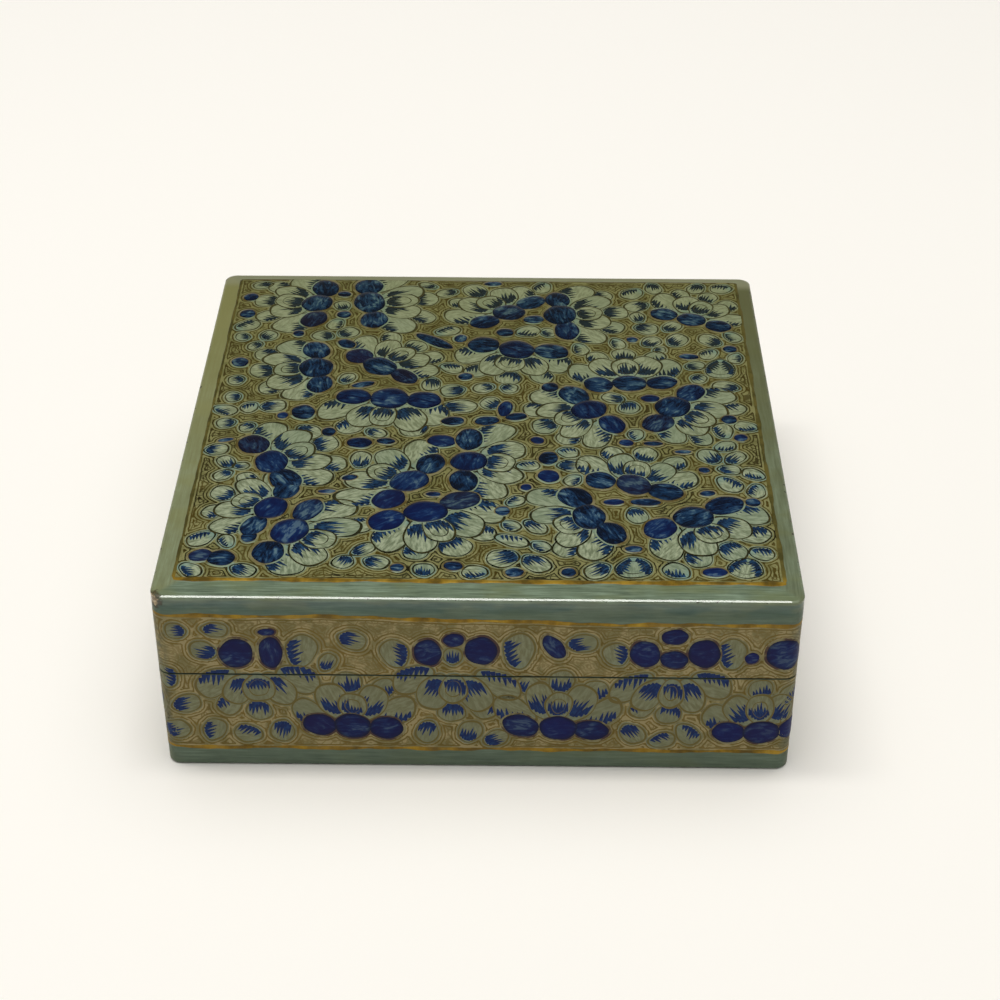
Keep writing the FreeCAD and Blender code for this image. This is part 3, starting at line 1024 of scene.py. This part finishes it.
top_singles = [
    (-46.9, -15.0, 115, 4.6, 1.7, 1), (-44.1, -16.2, 5, 3.6, 1.2, 1), (-47.0, -19.1, 220, 4.5, 1.5, 1),
    (-48.5, -1.9, 190, 3.8, 1.8, 1), (-44.3, -3.3, 220, 3.6, 1.6, 1), (-23.2, -45.0, 245, 4.2, 1.9, 1),
    (-20.1, -41.5, 35, 5.0, 1.7, 1), (-17.6, -45.1, -25, 5.1, 1.9, 1), (-9.3, -47.2, 90, 4.0, 1.9, 1),
    (16.9, -15.3, 0, 6.4, 2.2, 1), (27.9, -30.7, -75, 4.9, 2.1, 1), (9.8, -34.3, -50, 5.4, 1.8, 1),
    (5.7, -38.4, -25, 6.6, 1.8, 3), (4.3, -43.6, 205, 6.3, 2.5, 1), (9.9, -45.0, -50, 6.3, 2.2, 1),
    (26.7, -46.0, -90, 5.9, 3.4, 4), (45.9, -45.9, 255, 6.1, 3.0, 4), (42.2, -12.0, 115, 5.4, 2.2, 1),
    (46.7, -12.4, 50, 5.0, 1.8, 1), (45.1, -20.8, -55, 5.7, 2.2, 3), (45.4, -16.2, -5, 4.6, 1.7, 1),
    (-32.7, 30.3, 160, 4.8, 1.9, 1), (-27.8, 31.6, 35, 4.8, 2.0, 1), (-48.9, 29.6, 190, 3.2, 1.6, 1),
    (-43.8, 30.2, 50, 4.2, 1.8, 1), (-46.0, 26.2, 230, 3.8, 1.5, 1), (-48.3, 13.3, 210, 3.7, 1.7, 1),
    (-48.2, 7.2, 185, 3.5, 1.8, 1), (-44.7, 3.6, 225, 4.1, 1.7, 2), (-32.7, -4.7, -35, 5.9, 2.2, 1),
    (-6.0, 10.1, 190, 5.4, 2.1, 1), (-4.5, 4.5, 5, 7.3, 2.2, 1), (-47.0, 50.7, 200, 4.6, 1.5, 1),
    (-12.4, 51.0, 160, 4.3, 1.3, 1), (-8.3, 48.0, 200, 5.0, 1.7, 1), (-7.7, 32.5, 20, 5.4, 1.9, 3),
    (-26.8, 14.2, 60, 4.5, 1.5, 1), (12.6, 32.2, 30, 3.3, 1.8, 1), (-0.0, 11.2, 205, 4.4, 1.8, 1),
    (4.9, 11.1, -30, 3.8, 1.7, 1), (1.4, 5.6, 140, 4.2, 2.2, 1), (27.9, 4.6, -90, 4.6, 2.1, 1),
    (46.4, 18.9, -95, 7.0, 3.2, 4), (41.9, 15.1, -40, 3.5, 1.7, 1), (47.0, 12.2, 165, 5.5, 2.0, 1),
    (34.8, 25.8, 0, 2.8, 1.3, 1),
]


# %% [markdown]
# ### Filling the gaps
# The painter filled what was left with more single petals and berries. The same is done here: on a coarse
# grid, find the point furthest from everything drawn, draw a petal or a berry there that fits, and go on
# until no gap is wide.


# %% Distances and fillers
spot_step = 0.75  # of the grid on which gaps are looked for
widest_gap = 4.0  # what lies further off than this isn't measured
widest_filler = 2.5  # the largest radius of a filler
filler_margin = 0.3


def clearance(points, rows, margin, wrap=False):
    """How far each point is from the nearest shape's edge, up to margin. It is below zero inside one."""
    share = np.arange(56) / 56
    outlines = np.stack(placed(rows, *teardrop(rows, share, 1.0)), axis=-1)[:, 0]
    found = np.full(len(points), margin)
    for outline, row in zip(outlines, rows):
        low, high = outline.min(0) - margin, outline.max(0) + margin
        moved = points
        if wrap:
            moved = points - np.round((points - (low + high) / 2) / girth) * [girth, 0]
        close = np.flatnonzero(((moved > low) & (moved < high)).all(axis=1))
        offset = moved[close] - row[:2]
        away = np.sqrt(((moved[close][:, None] - outline) ** 2).sum(-1)).min(1, initial=margin)
        turn, length, half, taper, bend = row[2:7]
        across, along = turned(offset[:, 0], offset[:, 1], -math.radians(turn))
        cosine = np.clip(1 - 2 * along / length, -1, 1)
        room = half * np.sqrt(1 - cosine**2) * (1 - taper * cosine)
        inside = np.abs(across - bend * along**2 / length) < room
        found[close] = np.minimum(found[close], np.where(inside, -away, away))
    return found


def fill_gaps(rows, low, high, smallest, wrap=False):
    """Single petals and berries for the gaps between the rows given, as places for small_shapes."""
    axes = [np.arange(start, stop, spot_step) for start, stop in zip(low, high)]
    spots = np.stack(np.meshgrid(*axes, indexing="ij"), axis=-1).reshape(-1, 2)
    inside = np.minimum(spots - low, high - spots)
    room = np.minimum(clearance(spots, rows, widest_gap, wrap), inside[:, int(wrap):].min(1))
    places = []
    while room.max() > smallest:
        best = int(np.argmax(room))
        radius = min(room[best], widest_filler)
        heading = chance.uniform(0, 360)
        if radius > 1.9 or chance.random() < 0.5:
            shape = (radius * 2.2, radius * 0.85, chance.choice([base_comb, right_comb, left_comb]))
        else:
            shape = (radius * 1.9, radius * 0.75, no_comb)
        places.append((*spots[best], heading, *shape))
        drawn = small_shapes(places[-1:])
        room = np.minimum(room, clearance(spots, drawn, widest_gap, wrap) - filler_margin)
    return places


def keep_clear(petals, owner, others, others_owner, low, high, wrap=False):
    """Marks the small outer petals that lie neither on another flower nor on the border."""
    middle = np.stack(placed(petals, *middles(petals)), axis=-1)[:, 0, 0]
    keep = np.ones(len(petals), bool)
    for index in np.flatnonzero(petals[:, level_column] < outer_level):
        room = clearance(middle[index][None], others[others_owner != owner[index]], widest_gap, wrap)[0]
        need = petals[index, 4] * 0.75
        inside = np.minimum(middle[index] - low, high - middle[index])[int(wrap):].min()
        keep[index] = min(room, inside) > need
    return keep


def with_fillers(flowers, fans, singles, low, high, smallest, wrap=False):
    """All the petal rows and bead rows of one drawing."""
    petals, beads, petal_owner, bead_owner = flowers_at(flowers + fans, len(flowers))
    small = small_shapes(singles)
    everything = np.concatenate([petals, beads, small])
    owners = np.concatenate([petal_owner, bead_owner, np.full(len(small), -1)])
    petals = petals[keep_clear(petals, petal_owner, everything, owners, low, high, wrap)]
    drawn = np.concatenate([petals, beads, small])
    small = np.concatenate([small, small_shapes(fill_gaps(drawn, low, high, smallest, wrap))])
    is_berry = small[:, comb_column] == no_comb
    print("petals", len(petals) + (~is_berry).sum(), "beads", len(beads) + is_berry.sum())
    return np.concatenate([petals, small[~is_berry]]), np.concatenate([beads, small[is_berry]])


# %% [markdown]
# ### Putting the paint on
# A drawing becomes six thin layers: petals, the pale rims of the beads, the beads, olive outlines, curls
# and comb strokes. On the sides each layer is made twice and trimmed, once for the lid and once for the
# base.

# %% Build the layers of a drawing
bead_rim, rim_lower = 0.22, 0.55  # how far a bead's rim shows round it, and how many levels lower it lies
bead_crown = 0.03
petal_margin = 0.40
middle_petal = 2.9  # only a fan's middle petal lies above this level
middle_bead = 6  # only a chain's middle bead lies above this level
under_beads = 4.3  # where that bead's rim lies, under its two neighbours
outline_inset, outline_width = 0.12, 0.32
curl_inset, curl_width = 1.25, 0.18
gap_reach = 5.0  # the ground knows its distance from the motifs up to here


def swelled(rows, extra, lower=0.0):
    """The same shapes with their edges moved out by extra, and lower levels, for what shows round them."""
    grown = rows.copy()
    turn = np.radians(rows[:, 2])
    grown[:, 0] += np.sin(turn) * extra
    grown[:, 1] -= np.cos(turn) * extra
    grown[:, 3] += 2 * extra
    grown[:, 4] += extra
    level = rows[:, level_column]
    grown[:, level_column] = np.where(level > middle_bead, under_beads, level - lower)
    return grown


def paint_layers(prefix, body, petals, beads, lay, keep):
    rims = swelled(beads, bead_rim, rim_lower)
    curled = petals[(petals[:, level_column] > middle_petal) | (petals[:, comb_column] == pair_comb)]
    strokes = np.concatenate([comb_strokes(petals, kind) for kind in (base_comb, right_comb, left_comb)])
    layers = [
        ("petals", patch_layer(swelled(petals, petal_margin), 0.0), petal_paint),
        ("bead_edges", patch_layer(rims, 0.0), edge_paint),
        ("beads", patch_layer(beads, bead_crown), bead_paint),
        ("outlines", outline_layer(petals, outline_inset, outline_width), olive_paint),
        ("curls", outline_layer(curled, curl_inset, curl_width), olive_paint),
        ("strokes", stroke_layer(strokes), comb_paint),
    ]
    for name, (points, faces, attributes), material in layers:
        add_piece(f"{prefix}_{name}", lay(points), faces, body, material, attributes, keep)


def paint_ground(prefix, body, across, along, motifs, edge_distance, lay, material, wrap=False, top=None):
    """A grid over the whole drawing that knows, at each point, how far the nearest motif or edge is.

    motifs are the petal rows and the bead rows. top gives the height of the grid's last row at each place
    along the drawing.
    """
    petals, beads = motifs
    shapes = np.concatenate([swelled(petals, petal_margin), swelled(beads, bead_rim)])
    spots = np.stack(np.meshgrid(across, along, indexing="ij"), axis=-1).reshape(-1, 2)
    if top:
        spots[:, 1] = along[0] + (spots[:, 1] - along[0]) / np.ptp(along) * (top(spots[:, 0]) - along[0])
    clear = np.minimum(clearance(spots, shapes, gap_reach, wrap), edge_distance(spots))
    points = np.column_stack([spots, np.full(len(spots), ground_height)])
    faces = grid_faces(len(across), len(along))[:, ::-1]
    add_piece(f"{prefix}_ground", lay(points), [faces], body, material, {"clear": clear})


# %% Paint the top
smallest_gap = 1.85  # the radius of the smallest gap that gets a filler
ground_step = 0.42


def spaced(low, high):
    """Places of the ground's points between two ends."""
    return np.linspace(low, high, round((high - low) / ground_step))


singles = [(*berry, no_comb) for berry in top_berries] + top_singles
inner_low, inner_high = panel_low + filler_margin, panel_high - filler_margin
top_motifs = with_fillers(top_flowers, [], singles, inner_low, inner_high, smallest_gap)
paint_layers("lid_top", "lid", *top_motifs, on_top, ((*panel_low, 0), (*panel_high, top_height)))
ground_x, ground_y = spaced(panel_low[0], panel_high[0]), spaced(panel_low[1], panel_high[1])


def to_border(spots):
    return np.minimum(spots - panel_low, panel_high - spots).min(1)


paint_ground("lid_top", "lid", ground_x, ground_y, top_motifs, to_border, on_top, top_ground)

# %% [markdown]
# ### The band round the sides
# The same flowers run round the box between two gold lines. Half of them hang from above and half stand up
# between those. The front's are placed as on the box, and the other sides repeat them, turned round and
# shaken.

# %% Motifs on the sides
# along the side, height, heading, bead spacing
front_flowers = [(-21.9, 9.1, 92, 6.0), (13.9, 9.4, 86, 6.2), (49.8, 8.8, 94, 5.8)]
front_fans = [(-38.4, 23.0, -88, 6.0), (-3.9, 23.2, -93, 6.2), (33.7, 22.6, -90, 5.8)]
# along the side, height, heading, length, half width, comb
front_singles = [
    (-51.3, 30.5, 180, 3.8, 1.8, 1), (-44.7, 30.8, -10, 4.8, 1.7, 1), (-46.9, 26.2, 165, 5.0, 2.1, 1),
    (-41.4, 25.7, 5, 6.8, 3.5, 0), (-35.4, 25.9, 88, 7.4, 2.4, 0), (-35.9, 30.4, 0, 3.2, 0.9, 0),
    (-30.2, 26.2, 80, 7.6, 2.8, 3), (-25.8, 23.8, 70, 4.4, 1.6, 1), (-21.4, 28.8, -15, 5.4, 2.1, 1),
    (-14.1, 25.8, 100, 6.4, 2.6, 2), (-8.5, 26.2, 10, 5.6, 3.1, 0), (-4.0, 29.0, 0, 4.2, 1.6, 0),
    (-4.2, 25.4, 90, 4.2, 1.7, 1), (0.6, 26.7, 0, 6.1, 3.6, 0), (7.1, 26.6, 90, 8.0, 2.9, 3),
    (13.1, 27.7, -60, 6.2, 1.9, 0), (17.9, 28.5, 12, 5.8, 2.0, 1), (23.8, 26.1, 105, 5.6, 2.3, 2),
    (28.7, 26.3, 0, 5.8, 3.3, 0), (33.6, 30.1, 5, 5.0, 2.0, 0), (33.7, 25.1, 0, 5.4, 2.2, 0),
    (38.8, 26.5, 0, 6.0, 3.6, 0), (43.6, 26.3, 85, 7.4, 2.5, 3), (47.0, 25.6, 0, 2.8, 1.4, 0),
    (52.6, 26.4, 15, 7.4, 3.6, 0),
]
side_low = np.array([-girth / 2, foot_border])
side_high = np.array([girth / 2, top_height - side_border])
corner_reach = 49.0  # motifs past this place go round the corner, and the next side shares them
side_places = []
for motifs, shaken in ((front_flowers, 0.6), (front_fans, 0.3), (front_singles, 0.25)):
    around = list(motifs)
    for number, mirror in ((1, -1), (2, 1), (-1, -1)):  # how many sides on, and -1 where it is mirrored
        for x, z, heading, *shape in motifs:
            if mirror < 0 and x > corner_reach:
                continue
            x = mirror * x + number * quarter + chance.normal(0, shaken)
            around.append((x, z + chance.normal(0, shaken / 2), 90 + mirror * (heading - 90), *shape))
    side_places.append(around)
filled_low = side_low + filler_margin
filled_high = np.array([girth / 2, 24.5])  # no filler goes above this height
smallest_side_gap = 2.1
side_motifs = with_fillers(*side_places, filled_low, filled_high, smallest_side_gap, wrap=True)


def line_height(along):
    """The upper gold line was drawn by eye, so it sinks towards the right of the front and wavers."""
    slope = -0.6 * np.sin(6 * math.pi * along / girth)
    return top_height - side_border + slope + 0.12 * np.sin(along * 0.21) + 0.07 * np.sin(along * 0.67 + 1)


# %% Paint the sides
far = 2 * half_width
seam_margin = 0.02  # the paint stops this short of the seam
lid_keep = (-far, -far, lid_edge_height + seam_margin), (far, far, top_height)
base_keep = (-far, -far, 0), (far, far, base_edge_height - seam_margin)
paint_layers("lid_side", "lid", *side_motifs, on_side, lid_keep)
paint_layers("base_side", "base", *side_motifs, on_side, base_keep)
around_box = spaced(side_low[0], side_high[0])


def to_lines(spots):
    return np.minimum(line_height(spots[:, 0]) - spots[:, 1], spots[:, 1] - foot_border)


for prefix, body, low, high, top in (
    ("lid_side", "lid", lid_edge_height + seam_margin, side_high[1], line_height),
    ("base_side", "base", foot_border, base_edge_height - seam_margin, None),
):
    grid = around_box, spaced(low, high)
    paint_ground(prefix, body, *grid, side_motifs, to_lines, on_side, side_ground, wrap=True, top=top)


# %% Gold lines
def line_layer(centre, direction, width, height):
    """A closed line of paint that swells and thins, with its edges to both sides of the centre.

    width is one number, or one for each point of the centre.
    """
    share = np.arange(len(centre)) / len(centre) * 2 * math.pi
    swell = 1 + 0.25 * np.sin(share * 23 + 1) + 0.2 * np.sin(share * 57) + 0.12 * np.sin(share * 131)
    rows = []
    for side, raised in ((0.5, 0.0), (0.35, 1.0), (-0.35, 1.0), (-0.5, 0.0)):
        place = centre + direction * (side * width * swell)[:, None]
        rows.append(np.column_stack([place, np.full(len(centre), ground_height * 0.5 + height * raised)]))
    return np.concatenate(rows), [grid_faces(4, len(centre), wrap=True)]


line_thickness = 0.03
side_width = 0.72
panel_radius = 0.8
centre, direction = ring_outline(panel_low, panel_high, panel_radius)
top_widths = 0.62 + direction @ [0.10, -0.42]  # widest at the front
points, faces = line_layer(centre, direction, top_widths, line_thickness)
add_piece("lid_top_gold_line", on_top(points), faces, "lid", gold_paint)
along = np.linspace(-girth / 2, girth / 2, 700, endpoint=False)
for name, body, heights in (
    ("lid_side_gold_line", "lid", line_height(along)),
    ("base_side_gold_line", "base", foot_border + 0.1 * np.sin(along * 0.31) + 0.06 * np.sin(along * 0.9)),
):
    centre = np.column_stack([along, heights])
    points, faces = line_layer(centre, np.array([[0.0, -1.0]]), side_width, line_thickness)
    faces = [group[:, ::-1] for group in faces]
    add_piece(name, on_side(points), faces, body, gold_paint)

# %% [markdown]
# ## Floor, light and camera
# The box stands on pale paper in a pale room, under one long lamp. The room is white overhead and dim at
# the height of the eye, so that the varnish seen from above stays deep, and the camera alone sees a white
# background.


# %% Floor
floor_reach = 3.0
corners = [(x * floor_reach, y * floor_reach, 0) for x, y in ((-1, -1), (1, -1), (1, 1), (-1, 1))]
mesh = bpy.data.meshes.new("floor")
mesh.from_pydata(corners, [], [(0, 1, 2, 3)])
matt = {"Base Color": paint(255, 252, 246), "Roughness": 0.9, "Specular IOR Level": 0.1}
mesh.materials.append(Recipe("floor_paper", matt).material)
floor = put("floor", mesh)

# %% Room
world = bpy.data.worlds.new("room")
bpy.context.scene.world = world
world.use_nodes = True
room = Net(world.node_tree)
levels = [(0.0, 0.24), (0.22, 0.20), (0.40, 0.10), (0.50, 0.018), (0.72, 0.018), (0.88, 0.68), (1.0, 1.0)]
stops = [(place, (level, level * 0.995, level * 0.98, 1)) for place, level in levels]
upward_share = room.split(room.node("ShaderNodeTexCoord", {}, {}, "Generated"))[2]
brightness = {0: room.ramp(upward_share, *stops), "Scale": 2.18}
light = room.node("ShaderNodeVectorMath", {"operation": "SCALE"}, brightness)
seen = room.node("ShaderNodeLightPath", {}, {}, "Is Camera Ray")
backdrop = room.mix(light, (1.0, 0.985, 0.955, 1), seen)
background = world.node_tree.nodes["Background"]
background.inputs["Strength"].default_value = 1.0
world.node_tree.links.new(backdrop.socket, background.inputs["Color"])

# %% Lamp: its mirror image is the bright line along the front's top edge
lamp = bpy.data.lights.new("panel", "AREA")
lamp.shape = "RECTANGLE"
lamp.size, lamp.size_y = 0.67, 0.10
lamp.energy = 3.4
lamp.color = (1.0, 0.985, 0.95)
put("panel", lamp).location = (-0.12, 0.0, 1.0)

# %% Camera: a place in millimetres and three turns in degrees
eye = np.array([6.31, -325.88, top_height + 212.91])
pitch, yaw, roll = np.radians([35.43, -0.53, 0.19])
ahead = np.array([np.sin(yaw) * np.cos(pitch), np.cos(yaw) * np.cos(pitch), -np.sin(pitch)])
level_right = np.array([np.cos(yaw), -np.sin(yaw), 0])
level_up = np.cross(level_right, ahead)
right = level_right * np.cos(roll) + level_up * np.sin(roll)
up = level_up * np.cos(roll) - level_right * np.sin(roll)
camera = bpy.data.cameras.new("camera")
camera.lens = 73.85
camera.sensor_width = 36
camera.clip_start = 0.01
matrix = np.eye(4)
matrix[:3] = np.stack([right, up, -ahead, eye * mm], axis=1)
holder = put("camera", camera)
holder.matrix_world = Matrix(matrix.tolist())
bpy.context.scene.camera = holder
bpy.context.scene.view_settings.view_transform = "Standard"
print("floor, room, lamp and camera are set")
